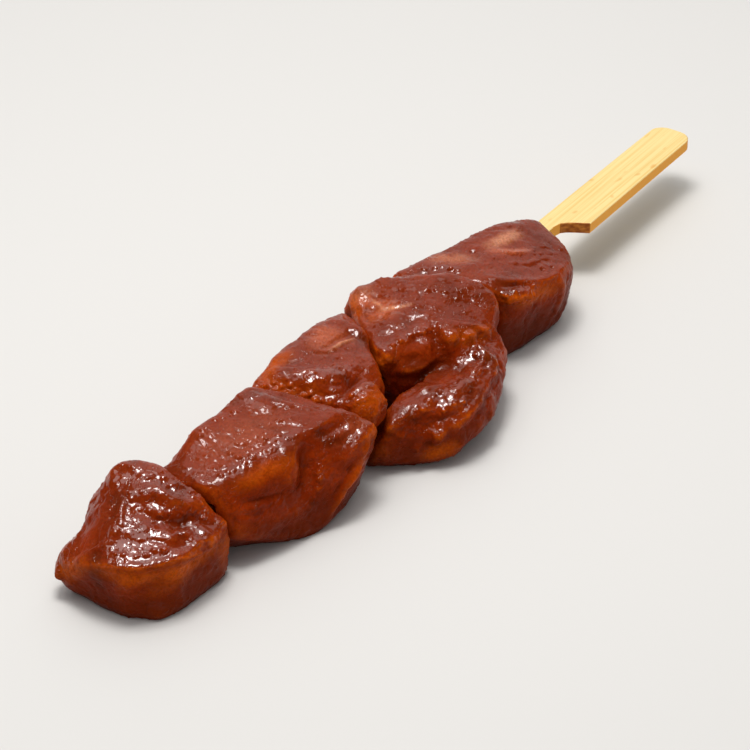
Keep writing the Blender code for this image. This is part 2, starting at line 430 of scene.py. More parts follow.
class Graph:
    """Adds nodes to a material and wires them."""

    def __init__(self, name: str) -> None:
        """Start a material with a Principled shader.

        Args:
            name: the material's name.
        """
        self.material = bpy.data.materials.new(name)
        self.material.use_nodes = True
        self.tree = self.material.node_tree
        self.shader = self.tree.nodes["Principled BSDF"]
        self.here = self.tree.nodes.new("ShaderNodeTexCoord").outputs["Object"]

    def cover(self, mesh: bpy.types.Mesh) -> None:
        """Make this the only material of a mesh."""
        mesh.materials.clear()
        mesh.materials.append(self.material)

    def add(self, kind: str, **settings: object) -> bpy.types.Node:
        """Add a node.

        Args:
            kind: Blender's name of the node.
            settings: properties of the node.

        Returns:
            The node.
        """
        made = self.tree.nodes.new(kind)
        for name, value in settings.items():
            setattr(made, name, value)
        return made

    def feed(self, socket: bpy.types.NodeSocket, value: object) -> None:
        """Give a socket its value, or a link where the value is another socket.

        Args:
            socket: the input.
            value: a number, a vector, a colour or an output socket.
        """
        if isinstance(value, bpy.types.NodeSocket):
            self.tree.links.new(value, socket)
        elif isinstance(value, tuple) and len(value) == 3 and socket.type == "RGBA":
            socket.default_value = (*value, 1.0)
        else:
            socket.default_value = value

    def put(self, **inputs: object) -> None:
        """Give inputs of the shader their values. An underscore stands for a space in a name."""
        for name, value in inputs.items():
            self.feed(self.shader.inputs[name.replace("_", " ")], value)

    def noise(self, pattern: Pattern) -> bpy.types.NodeSocket:
        """Give noise from 0 to 1.

        Args:
            pattern: the size, turn and finer layers of the noise.

        Returns:
            The value socket.
        """
        mapping = self.add("ShaderNodeMapping", vector_type="TEXTURE")
        self.feed(mapping.inputs["Vector"], self.here)
        self.feed(mapping.inputs["Rotation"], (0.0, 0.0, math.radians(pattern.turn)))
        self.feed(mapping.inputs["Scale"], tuple(size * MM for size in pattern.size))
        made = self.add("ShaderNodeTexNoise")
        self.feed(made.inputs["Vector"], mapping.outputs["Vector"])
        self.feed(made.inputs["Scale"], 1.0)
        self.feed(made.inputs["Detail"], pattern.detail)
        self.feed(made.inputs["Roughness"], pattern.roughness)
        return made.outputs["Fac"]

    def ramp(self, value: bpy.types.NodeSocket, *stops: tuple[float, Colour]) -> bpy.types.NodeSocket:
        """Turn a value into a colour.

        Args:
            value: the value.
            stops: places from 0 to 1 and their colours.

        Returns:
            The colour socket.
        """
        made = self.add("ShaderNodeValToRGB")
        elements = made.color_ramp.elements
        while len(elements) < len(stops):
            elements.new(1.0)
        for element, (place, colour) in zip(elements, stops):
            element.position = place
            element.color = (*colour, 1.0)
        self.feed(made.inputs["Fac"], value)
        return made.outputs["Color"]

    def stretch(self, value: bpy.types.NodeSocket, span: Span) -> bpy.types.NodeSocket:
        """Map a range of values to another.

        Args:
            value: the value.
            span: the range, and what its ends become.

        Returns:
            The value socket.
        """
        made = self.add("ShaderNodeMapRange", interpolation_type="SMOOTHSTEP")
        self.feed(made.inputs["Value"], value)
        self.feed(made.inputs["From Min"], span.low)
        self.feed(made.inputs["From Max"], span.high)
        self.feed(made.inputs["To Min"], span.at_low)
        self.feed(made.inputs["To Max"], span.at_high)
        return made.outputs["Result"]

    def sum(self, operation: str, *values: object) -> bpy.types.NodeSocket:
        """Do arithmetic.

        Args:
            operation: Blender's name of the operation.
            values: numbers or value sockets.

        Returns:
            The value socket.
        """
        made = self.add("ShaderNodeMath", operation=operation)
        for socket, value in zip(made.inputs, values):
            self.feed(socket, value)
        return made.outputs["Value"]

    def blend(self, share: object, below: object, above: object) -> bpy.types.NodeSocket:
        """Mix two colours.

        Args:
            share: how much of the upper colour shows.
            below: the lower colour.
            above: the upper colour.

        Returns:
            The colour socket.
        """
        made = self.add("ShaderNodeMix", data_type="RGBA")
        self.feed(made.inputs["Factor"], share)
        self.feed(made.inputs[6], below)
        self.feed(made.inputs[7], above)
        return made.outputs[2]

    def part(self, vector: bpy.types.NodeSocket, axis: str) -> bpy.types.NodeSocket:
        """Take one part of a vector.

        Args:
            vector: the vector socket.
            axis: X, Y or Z.

        Returns:
            The value socket.
        """
        made = self.add("ShaderNodeSeparateXYZ")
        self.feed(made.inputs["Vector"], vector)
        return made.outputs[axis]

    def stored(self, name: str) -> bpy.types.NodeSocket:
        """Read a mesh attribute."""
        return self.add("ShaderNodeAttribute", attribute_name=name).outputs["Fac"]

    def bumped(
        self, height: bpy.types.NodeSocket, depth: float, strength: float, onto: object = None
    ) -> bpy.types.NodeSocket:
        """Bend the normal by a height.

        Args:
            height: the height, from 0 to 1.
            depth: what a height of 1 stands for, in millimetres.
            strength: how much of it shows.
            onto: a normal that is bent already.

        Returns:
            The normal socket.
        """
        made = self.add("ShaderNodeBump")
        self.feed(made.inputs["Height"], height)
        self.feed(made.inputs["Distance"], depth * MM)
        self.feed(made.inputs["Strength"], strength)
        if onto is not None:
            self.feed(made.inputs["Normal"], onto)
        return made.outputs["Normal"]


@dataclass(frozen=True)
class MeatFinish:
    """Wet marinated pork: a deep red-brown glaze, with painted amber glow at thin edges, painted shade in the
    hollows and low down, and painted sheen and shade on the level tops.
    """

    # the meat's deepest red-brown, also used as painted shade low on the chunks, in the hollows and in the
    # dark stains
    deep_and_shade: Colour = (0.10, 0.010, 0.001)
    body: Colour = (0.21, 0.017, 0.001)
    red: Colour = (0.29, 0.027, 0.0015)
    # amber: mostly painted glow of light shining through thin edges and on the upper sides, partly the meat's
    # own orange
    amber_glow: Colour = (0.52, 0.080, 0.0018)
    # painted sheen and shade: the darker, greyer brown that level tops turn to, standing in for the sheen and
    # light on them
    top_sheen_shade: Colour = (0.16, 0.026, 0.009)
    pink: Colour = (0.42, 0.088, 0.032)
    fat: Colour = (0.62, 0.25, 0.13)
    warm_gloss: Colour = (1.0, 0.5, 0.3)
    mottle: Pattern = Pattern((7.0, 7.0, 7.0), detail=4.0)
    mottle_stops: tuple[float, float, float] = (0.30, 0.44, 0.66)
    strand: Pattern = Pattern((9.0, 0.9, 0.9), roughness=0.6, turn=15.0)
    patch: Pattern = Pattern((2.2, 2.2, 2.2))
    speck: Pattern = Pattern((0.5, 0.5, 0.5), detail=2.0)
    cloud: Pattern = Pattern((3.5, 3.5, 3.5), detail=4.0)
    fine: Pattern = Pattern((0.7, 0.7, 0.7), detail=1.0)
    fine_strand: Pattern = Pattern((3.0, 0.5, 0.5), detail=1.0, turn=15.0)
    crackle: Pattern = Pattern((4.5, 2.4, 2.4), turn=15.0)
    flat_top: Span = Span(0.5, 0.9)
    pale_strand: Span = Span(0.55, 0.8, 0.0, 0.3)
    dark_strand: Span = Span(0.45, 0.2, 0.0, 0.5)
    # painted glow: ragged_edge breaks up the glow at thin edges, and steep keeps it to the sides
    ragged_edge: Span = Span(0.25, 0.55)
    ragged_stain: Span = Span(0.15, 0.5)
    steep: Span = Span(0.85, 0.5, 0.1, 1.0)
    dark_speck: Span = Span(0.35, 0.7, 0.0, 0.35)
    roughness: Span = Span(0.35, 0.65, 0.28, 0.45)
    coated: Span = Span(0.1, 0.75, 0.01, 1.0)
    crack_line: Span = Span(0.0, 0.02)
    # painted sheen and shade: how far level tops turn to that brown
    top_sheen_shade_share: float = 0.5
    # painted shade: how far the colour goes to deep red-brown low on the chunk
    foot_shade_share: float = 0.75
    # painted shade: how far the colour goes to deep red-brown in the hollows
    hollow_shade_share: float = 0.35
    glow: float = 0.2
    glow_radius: tuple[float, float, float] = (1.0, 0.2, 0.05)
    glow_depth: float = 1.8
    bare_gloss: float = 0.06
    coat_roughness: float = 0.05
    coat_ior: float = 1.7
    strand_share: float = 0.5
    fine_depth: float = 0.045
    crack_depth: float = 0.05
    bump_strength: float = 0.8

    def dress(self, piece: bpy.types.Object) -> None:
        """Give a chunk its material.

        Args:
            piece: the finished chunk, with its attributes.
        """
        graph = Graph(f"{piece.name}_glaze")
        graph.put(Base_Color=self._colour(graph))
        graph.put(Roughness=graph.stretch(graph.noise(self.cloud), self.roughness))
        self._wet(graph)
        graph.cover(piece.data)

    def _colour(self, graph: Graph) -> bpy.types.NodeSocket:
        """Lay the colours of the meat over each other, painted glow, sheen and shade among them.

        Args:
            graph: the material.

        Returns:
            The colour socket.
        """
        stops = zip(self.mottle_stops, (self.deep_and_shade, self.body, self.red))
        colour = graph.ramp(graph.noise(self.mottle), *stops)
        strand = graph.noise(self.strand)
        level = graph.stretch(graph.stored("level"), self.flat_top)
        pale = graph.sum("MULTIPLY", graph.stretch(strand, self.pale_strand), level)
        colour = graph.blend(pale, colour, self.pink)
        # painted sheen and shade: level tops go darker and greyer
        colour = graph.blend(graph.sum("MULTIPLY", level, self.top_sheen_shade_share), colour, self.top_sheen_shade)
        colour = graph.blend(graph.stretch(strand, self.dark_strand), colour, self.deep_and_shade)
        patchy = graph.noise(self.patch)
        # painted glow: amber on thin convex edges of steep sides, standing in for light that shines through
        # them
        thin_edge_glow = graph.sum("MULTIPLY", graph.stored("thin_edge_glow"), graph.stretch(patchy, self.ragged_edge))
        steep = graph.stretch(graph.stored("level"), self.steep)
        colour = graph.blend(graph.sum("MULTIPLY", thin_edge_glow, steep), colour, self.amber_glow)
        # painted shade: the colour goes darker towards the bottom of each chunk and in its hollows
        for name, share in (("foot_shade", self.foot_shade_share), ("hollow_shade", self.hollow_shade_share)):
            colour = graph.blend(graph.sum("MULTIPLY", graph.stored(name), share), colour, self.deep_and_shade)
        # the amber stains are mostly painted glow and the dark stains mostly painted shade; pink and fat are
        # the meat's own colours
        for tint, shade in (
            (Tint.AMBER_GLOW, self.amber_glow),
            (Tint.PINK, self.pink),
            (Tint.FAT, self.fat),
            (Tint.DARK, self.deep_and_shade),
        ):
            ragged = graph.stretch(patchy, self.ragged_stain)
            colour = graph.blend(graph.sum("MULTIPLY", graph.stored(tint.value), ragged), colour, shade)
        return graph.blend(graph.stretch(graph.noise(self.speck), self.dark_speck), colour, self.deep_and_shade)

    def _wet(self, graph: Graph) -> None:
        """Add the wet coat, the light in thin edges and the fine relief.

        Args:
            graph: the material.
        """
        level = graph.stretch(graph.stored("level"), self.coated)
        strands = graph.noise(self.fine_strand)
        height = graph.sum("MULTIPLY_ADD", strands, self.strand_share, graph.noise(self.fine))
        normal = graph.bumped(height, self.fine_depth, self.bump_strength)
        line = graph.sum("ABSOLUTE", graph.sum("SUBTRACT", graph.noise(self.crackle), NOISE_MIDDLE))
        cracks = graph.stretch(line, self.crack_line)
        normal = graph.bumped(cracks, self.crack_depth, self.bump_strength, normal)
        graph.put(
            Subsurface_Weight=self.glow,
            Subsurface_Radius=self.glow_radius,
            Subsurface_Scale=self.glow_depth * MM,
            Specular_IOR_Level=self.bare_gloss,
            Specular_Tint=self.warm_gloss,
            Coat_Weight=graph.sum("MULTIPLY", level, graph.stored(Tint.WET.value)),
            Coat_Roughness=self.coat_roughness,
            Coat_IOR=self.coat_ior,
            Normal=normal,
            Coat_Normal=normal,
        )


@dataclass(frozen=True)
class Relief:
    """The heights of the relief of cut meat, in millimetres, and what is left of it on smooth meat."""

    sharpen: float = 0.4
    broad: float = 0.6
    lumps: float = 0.3
    strands: float = 0.1
    strand_length: float = 8.0
    veins: float = 0.16
    flakes: float = 0.2
    grains: float = 0.08
    beads: float = 0.45
    bead_level: float = 0.3
    swells: float = 2.6
    contrast: float = 1.6
    smooth_veins: float = 0.35
    smooth_flakes: float = 0.25
    smooth_grains: float = 0.3
    dry_beads: float = 0.3


@dataclass(frozen=True)
class Chunk:
    """One chunk of pork, shaped from its node."""

    name: str
    node: str
    neighbours: tuple[str, ...]
    seed: float
    grain: Place
    strokes: tuple[Stroke, ...]
    stains: tuple[Stain, ...] = ()
    bead_rows: tuple[BeadRow, ...] = ()
    wetness: float = 0.6
    relief: Relief = Relief()
    finish: MeatFinish = MeatFinish()
    voxel: float = 0.27
    quick_voxel: float = 0.45
    snug_reach: float = 0.6
    even_reach: float = 1.2
    wide_reach: float = 2.6
    bend_reach: float = 0.9
    swell_reach: float = 2.4
    facing_rounds: int = 4
    level_rounds: int = 2
    gap_limit: float = 3.0
    gap_share: float = 0.45
    off_neighbours: Span = Span(0.35, 2.55)
    off_surface: Span = Span(-0.4, 1.2)
    far_side: Span = Span(0.2, 0.8)
    top_edge: Span = Span(13.0, 19.0)
    rest_band: float = 2.2
    rest_turn: float = 0.55
    rest_turn_behind: float = 1.3
    rest_uneven: float = 0.6
    # painted shade: the heights over which the colour darkens towards the bottom
    foot_shade: Span = Span(1.0, 12.0)
    # painted glow: the bends and swells that turn amber
    thin_edge_glow_swell: Span = Span(0.15, 1.45)
    thin_edge_glow_bend: Span = Span(0.1, 0.45)
    thin_edge_glow_bend_share: float = 0.5
    # painted shade: the hollows that are darkened, found from the bend of the surface
    hollow_shade_swell: Span = Span(0.1, 0.9)
    hollow_shade_bend: Span = Span(0.06, 0.31)

    def rounds(self, reach: float, voxel: float) -> int:
        """Tell how many rounds of smoothing reach that far."""
        return max(1, round(2.0 * (reach / voxel) ** 2))

    def build(self) -> bpy.types.Object:
        """Shape the chunk and dress it.

        Returns:
            The finished piece.
        """
        voxel = self.voxel
        skin = FineSkin(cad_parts[self.node], voxel)
        probe = Probe(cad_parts[self.node])
        self._shape(skin, probe, voxel)
        self._settle(skin)
        self._paint(skin, probe, voxel)
        piece = skin.finished(self.name)
        self.finish.dress(piece)
        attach(piece, BODY)
        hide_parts(self.node)
        log.info("%s: %d quads", self.name, len(skin.quads))
        return piece

    def _shape(self, skin: FineSkin, probe: Probe, voxel: float) -> None:
        """Round the chunk, then work the strokes, the drops of glaze and the relief into it.

        Args:
            skin: the chunk's surface.
            probe: finds places on the chunk's node.
            voxel: the width of a quad, in millimetres.
        """
        snug = skin.relaxed(skin.points, self.rounds(self.snug_reach, voxel))
        even = skin.relaxed(snug, self.rounds(self.even_reach, voxel))
        wide = skin.relaxed(even, self.rounds(self.wide_reach, voxel))
        facing = skin.normals(wide)
        gaps = self._gaps(even)
        free = self.off_neighbours.shares(gaps) * self.off_surface.shares(even[:, 2])
        even = snug + free[:, None] * (even - snug)
        skin.points = even + (self.relief.sharpen * free)[:, None] * (even - wide)
        rise = np.zeros(len(even))
        for mark in self.strokes:
            rise += mark.rise * self._spread(skin.points, probe, mark, mark.form)
        rise = np.minimum(rise, self.gap_share * gaps)
        skin.points = skin.points + rise[:, None] * facing
        facing = skin.normals(skin.relaxed(skin.points, self.facing_rounds))
        drops = self._drops(skin.points, probe)
        skin.points = skin.points + np.minimum(drops, self.gap_share * gaps)[:, None] * facing
        wet = self._stained(skin.points, probe, Tint.WET, self.wetness)
        height = self._relief(skin.points, wet) + self._swells(skin.points, facing)
        skin.points = skin.points + (height * free)[:, None] * facing

    def _gaps(self, points: np.ndarray) -> np.ndarray:
        """Measure how far each place is from the nearest neighbour.

        Args:
            points: the places, in millimetres.

        Returns:
            The distances up to the limit, in millimetres.
        """
        probes = [Probe(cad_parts[name]) for name in self.neighbours]
        return np.minimum.reduce([probe.gaps(points, self.gap_limit) for probe in probes])

    def _spread(self, points: np.ndarray, probe: Probe, mark: Stroke | Stain, form: Form) -> np.ndarray:
        """Spread a mark over the vertices near its route.

        Args:
            points: the vertices, in millimetres.
            probe: finds places on the chunk's node.
            mark: the stroke or stain.
            form: how it fades towards its edge.

        Returns:
            The mark's strength at each vertex, from 0 to 1.
        """
        places = probe.lay(mark.route, mark.side)
        low = places.min(axis=0) - mark.reach
        high = places.max(axis=0) + mark.reach
        close = np.flatnonzero(np.all((points > low) & (points < high), axis=1))
        strength = np.zeros(len(points))
        for index, place in enumerate(places):
            taper = math.sin(math.pi * (index + 0.5) / len(places)) ** 0.5
            gap = np.linalg.norm(points[close] - place, axis=1) / mark.reach
            strength[close] = np.maximum(strength[close], taper * form.profile(gap))
        return strength

    def _drops(self, points: np.ndarray, probe: Probe) -> np.ndarray:
        """Stand the drops of glaze on the chunk.

        Args:
            points: the vertices, in millimetres.
            probe: finds places on the chunk's node.

        Returns:
            The height of the drops at each vertex, in millimetres.
        """
        height = np.zeros(len(points))
        for row in self.bead_rows:
            places = probe.lay(row.route, step=row.spacing)
            shares = 1.0 + Layer.DROPS_SIZE.read(places, self.seed)
            axes = (Layer.DROPS_X, Layer.DROPS_Y, Layer.DROPS_Z)
            strays = [layer.read(places, self.seed) for layer in axes]
            places = places + row.stray * np.stack(strays, axis=1)
            for place, share in zip(places, shares):
                nearest = points[np.argmin(np.sum((points - place) ** 2, axis=1))]
                gap = np.linalg.norm(points - nearest, axis=1) / (row.size * share)
                height = np.maximum(height, row.height * share * Form.ROUND.profile(gap))
        return height

    def _stained(self, points: np.ndarray, probe: Probe, tint: Tint, base: float = 0.0) -> np.ndarray:
        """Add up the stains of one tint.

        Args:
            points: the vertices, in millimetres.
            probe: finds places on the chunk's node.
            tint: which stains count.
            base: the strength where there is no stain.

        Returns:
            The tint's strength at each vertex, from 0 to 1.
        """
        total = np.full(len(points), base)
        for stain in self.stains:
            if stain.tint is tint:
                total += stain.strength * self._spread(points, probe, stain, Form.ROUND)
        return np.clip(total, 0.0, 1.0)

    def _relief(self, points: np.ndarray, wet: np.ndarray) -> np.ndarray:
        """Give the relief of cut meat.

        Args:
            points: the vertices, in millimetres.
            wet: how much glaze stands on each of them, from 0 to 1.

        Returns:
            The height at each vertex, in millimetres.
        """
        size = self.relief
        along = np.array(self.grain) / np.linalg.norm(self.grain)
        lengthwise = np.outer(points @ along, along)
        stretched = points - lengthwise + lengthwise / size.strand_length
        rough = smooth_step(0.5 + size.contrast * Layer.ROUGH.read(points, self.seed))
        veins = (1.0 - np.abs(Layer.VEINS.read(points, self.seed))) ** VEIN_POWER
        beads = np.maximum(Layer.BEADS.read(points, self.seed) - size.bead_level, 0.0)
        height = size.broad * Layer.BROAD.read(points, self.seed)
        height += size.lumps * Layer.LUMPS.read(points, self.seed)
        height += size.strands * Layer.STRANDS.read(stretched, self.seed)
        height += size.beads * (size.dry_beads + wet) * beads
        for depth, smooth, layer in (
            (-size.veins, size.smooth_veins, veins),
            (size.flakes, size.smooth_flakes, Layer.FLAKES.read(points, self.seed)),
            (size.grains, size.smooth_grains, Layer.GRAINS.read(points, self.seed)),
        ):
            height += depth * (smooth + (1.0 - smooth) * rough) * layer
        return height

    def _swells(self, points: np.ndarray, facing: np.ndarray) -> np.ndarray:
        """Give the long swells of the far side, below its top edge.

        Args:
            points: the vertices, in millimetres.
            facing: the outward directions at them.

        Returns:
            The height at each vertex, in millimetres.
        """
        behind = self.far_side.shares(facing[:, 1])
        below = 1.0 - self.top_edge.shares(points[:, 2])
        return self.relief.swells * behind * below * Layer.SWELLS.read(points, self.seed)

    def _settle(self, skin: FineSkin) -> None:
        """Keep the chunk on its surface, with its foot turned in a little, and more on the far side.

        Args:
            skin: the chunk's surface, whose points are moved.
        """
        facing = skin.normals(skin.points)
        behind = self.far_side.shares(facing[:, 1])
        facing[:, 2] = 0.0
        low = 1.0 - smooth_step(skin.points[:, 2] / (self.rest_band * (1.0 + behind)))
        uneven = 1.0 + self.rest_uneven * Layer.FOOT.read(skin.points, self.seed)
        turn = self.rest_turn + self.rest_turn_behind * behind * uneven
        skin.points -= (low * turn)[:, None] * facing
        skin.points[:, 2] = np.maximum(skin.points[:, 2], 0.0)

    def _paint(self, skin: FineSkin, probe: Probe, voxel: float) -> None:
        """Store the attributes that the finish reads, among them the masks of painted shade and painted glow.

        Args:
            skin: the finished surface.
            probe: finds places on the chunk's node.
            voxel: the width of a quad, in millimetres.
        """
        facing = skin.normals(skin.points)
        close = skin.relaxed(skin.points, self.rounds(self.bend_reach, voxel))
        wide = skin.relaxed(close, self.rounds(self.swell_reach, voxel))
        bend = np.sum((skin.points - close) * facing, axis=1)
        swell = np.sum((close - wide) * facing, axis=1)
        skin.store("level", skin.relaxed(facing, self.level_rounds)[:, 2])
        # painted shade: 1 at the bottom, fading out by the top of the span
        skin.store("foot_shade", 1.0 - self.foot_shade.shares(skin.points[:, 2]))
        # painted glow: amber at thin, convex edges
        skin.store("thin_edge_glow", self.thin_edge_glow_swell.shares(swell) + self.thin_edge_glow_bend_share * self.thin_edge_glow_bend.shares(bend))
        # painted shade: darker colour in hollows and creases
        skin.store("hollow_shade", self.hollow_shade_swell.shares(-swell) + self.hollow_shade_bend.shares(-bend))
        for tint in Tint:
            base = self.wetness if tint is Tint.WET else 0.0
            skin.store(tint.value, self._stained(skin.points, probe, tint, base))


def stroke(
    *route: Place, reach: float, rise: float, form: Form = Form.ROUND, side: Side = Side.TOP
) -> Stroke:
    """Make a stroke, from above or to the nearest place on the surface."""
    return Stroke(route, reach, rise, form, side)


def front(*route: Place, reach: float, rise: float, form: Form = Form.ROUND) -> Stroke:
    """Make a stroke on the front."""
    return stroke(*route, reach=reach, rise=rise, form=form, side=Side.FRONT)


def behind(*route: Place, reach: float, rise: float, form: Form = Form.ROUND) -> Stroke:
    """Make a stroke on the far side."""
    return stroke(*route, reach=reach, rise=rise, form=form, side=Side.BACK)


TIP_CHUNK = Chunk(
    name="glazed_chunk_1",
    node="meat_1",
    neighbours=("meat_2",),
    seed=1.3,
    grain=(0.5, -0.8, 0.3),
    wetness=0.72,
    strokes=(
        stroke((-92.6, -1.6, 11), (-92.8, -1.3, 6.5), reach=5.0, rise=-1.2),
        stroke((-97.3, 19.4, 5.2), reach=1.8, rise=1.0),
        stroke(
            (-88.5, -2.2, 12.6), (-84.5, -2.7, 12), (-80.5, -3, 11.5), (-77, -3, 11.3),
            reach=2.7, rise=1.5,
        ),
        stroke((-87.4, 1.4), (-86.6, -0.2), reach=1.7, rise=0.6),
        stroke((-84.2, 0.2), (-83.2, -2), reach=1.7, rise=0.7),
        stroke((-80.6, -0.2), (-80.2, -2.2), reach=1.8, rise=0.6),
        stroke((-77.8, 0.2), (-77, -1.8), reach=1.7, rise=0.6),
        stroke(
            (-97.2, 14.5, 9.8), (-97.7, 11.5, 10.8), (-97.5, 6.8, 12.4), (-95.3, 2.1, 12.8),
            (-92.1, -1.1, 12.7), (-85.6, -2.6, 11.9), (-78, -2.9, 11.3), reach=1.6, rise=0.6,
        ),
        stroke((-94, 8), (-91.5, 4.5), (-88, 1.5), reach=2.6, rise=-0.4),
        stroke((-86.5, 9.5), (-85.8, 5), (-84, 2), (-80.7, 0.2), (-76.5, -0.9), reach=2.4, rise=-1.1),
        stroke((-84.2, 11.5), (-81.6, 8), (-81, 5), (-79.3, 3), (-76, 1.6), reach=2.3, rise=1.1),
        stroke((-86.9, 11.8), (-89.6, 10), reach=0.9, rise=0.5),
        stroke(
            (-87.1, 11.9), (-90.8, 10), (-93.7, 9.6), (-95.6, 12), (-97.1, 14.5), reach=1.5, rise=0.45,
        ),
        stroke((-92.2, 4.9), (-92.5, 3.1), (-91.6, 1.7), reach=0.7, rise=-0.35, form=Form.CREASE),
        stroke((-89.9, 3.5), (-88.5, 1.2), reach=0.7, rise=-0.35, form=Form.CREASE),
        stroke((-80, 11.9), reach=1.2, rise=0.3),
        stroke((-78, 6.9), reach=1.2, rise=0.3),
        stroke((-75.5, 3.8), reach=1.2, rise=0.3),
        behind((-83, 11), (-81, 6), reach=5.0, rise=0.5),
        stroke((-76, 17, 11), reach=4.5, rise=-1.1),
        stroke((-75.5, 16, 4), reach=4.5, rise=-1.3),
    ),
    bead_rows=(
        BeadRow(((-80.5, 11.3, 20), (-78.3, 6.9, 18), (-75.8, -0.4, 14), (-75.8, -2.6, 12.5)), 1.5),
        BeadRow(((-86.9, 10), (-85, 5), (-82, 2.5), (-78, 0.6)), 1.7),
        BeadRow(((-95.5, 7), (-94, 3.4), (-90, 0.4)), 1.6),
    ),
    # The amber stains are mostly painted glow of light on the thin beak and along the upper front, partly the
    # meat's own orange.
    stains=(
        Stain(((-97, 18, 6), (-97, 13, 10)), 3.0, Tint.AMBER_GLOW, 0.7),
        Stain(((-98, 9, 11), (-94.7, 1, 10.4), (-86, -2.8, 9.6), (-77, -3.4, 9)), 2.6, Tint.AMBER_GLOW, 0.9),
        Stain(((-76, -3.4, 9), (-74.4, -3, 4)), 4.0, Tint.AMBER_GLOW, 0.6),
        Stain(((-96, 11), (-95, 5), (-91, 2), (-86, 0), (-79, -1)), 4.0, Tint.WET, 0.6),
        Stain(((-93, 16, 13), (-97, 12, 9), (-97.5, 7, 8)), 5.5, Tint.WET, -0.7),
        Stain(((-87.5, 17, 17), (-91.2, 16.1, 14.2), (-94.2, 14.3, 13.1)), 4.0, Tint.WET, -0.6),
        Stain(((-86, -2.2, 8.5), (-90.5, -1.7, 8.2), (-93.8, 0.5, 7)), 3.2, Tint.AMBER_GLOW, 0.5),
        Stain(((-80.5, 11.3), (-78.3, 6.9), (-75.5, 3)), 2.5, Tint.WET, 0.5),
    ),
)

